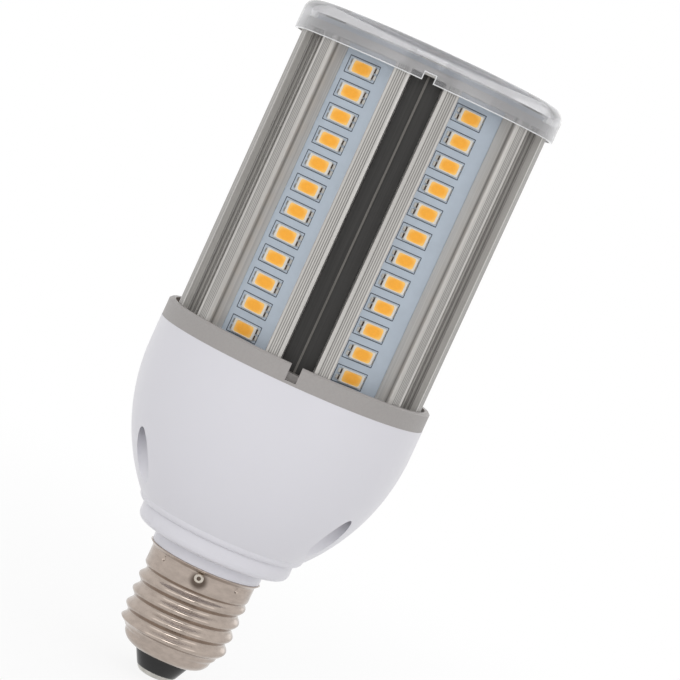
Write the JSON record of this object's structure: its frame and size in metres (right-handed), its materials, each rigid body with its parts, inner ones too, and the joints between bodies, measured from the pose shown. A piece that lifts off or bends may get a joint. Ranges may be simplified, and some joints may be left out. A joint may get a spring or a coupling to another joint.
{
  "type": "corn led bulb",
  "caption": "Screw-cap LED lamp: round ribbed heat sink with upright LED strips, clear domed end cover, grey clamp ring and flared white housing.",
  "frame": {"origin": "tip of the centre contact, on the lamp's axis", "axes": "+Z along the axis from the screw cap to the end cover; -Y is the front, where the key groove and both notches are; +X is to the right seen from the front"},
  "size_m": [0.066, 0.066, 0.1602],
  "materials": {
    "lens": "clear moulded plastic",
    "board": "pale solder mask on metal board",
    "led": "yellow phosphor window in a pale package",
    "heat_sink": "extruded, satin",
    "strip_black": "satin black",
    "ring": "satin grey",
    "housing": "moulded, glossy off-white",
    "shell": "nickel plated",
    "contact": "tinned",
    "insulator": "glossy black",
    "screw": "zinc plated",
    "driver_board": "green solder mask",
    "ferrite": "sintered ferrite",
    "winding": "yellow tape",
    "sleeve": "shrink sleeve",
    "copper": "enamelled copper wire",
    "black_epoxy": "moulded epoxy",
    "blue_epoxy": "dipped epoxy",
    "wire": "silicone sleeve",
    "connector": "moulded, black"
  },
  "bodies": {
    "root": {"lens_cover": "lens", "top_board": "board", "top_leds": "led", "board_connectors": "connector", "top_screws": "screw", "end_plate": "heat_sink", "heat_sink": "heat_sink", "groove_strips": "strip_black", "clamp_ring": "ring", "ring_screws": "screw", "housing": "housing", "housing_screws": "screw", "screw_shell": "shell", "shell_pin": "shell", "insulator": "insulator", "centre_contact": "contact", "driver_board": "driver_board", "transformer_core": "ferrite", "transformer_winding": "winding", "input_capacitor": "sleeve", "output_capacitor": "sleeve", "choke": "copper", "rectifier": "black_epoxy", "controller": "black_epoxy", "fuse_resistor": "black_epoxy", "varistor": "blue_epoxy", "line_wire": "wire", "neutral_wire": "wire", "output_wires": "wire", "led_strip_1": "board", "strip_leds_1": "led", "led_strip_2": "board", "strip_leds_2": "led", "led_strip_3": "board", "strip_leds_3": "led", "led_strip_4": "board", "strip_leds_4": "led", "led_strip_5": "board", "strip_leds_5": "led", "led_strip_6": "board", "strip_leds_6": "led"}
  },
  "joints": []
}
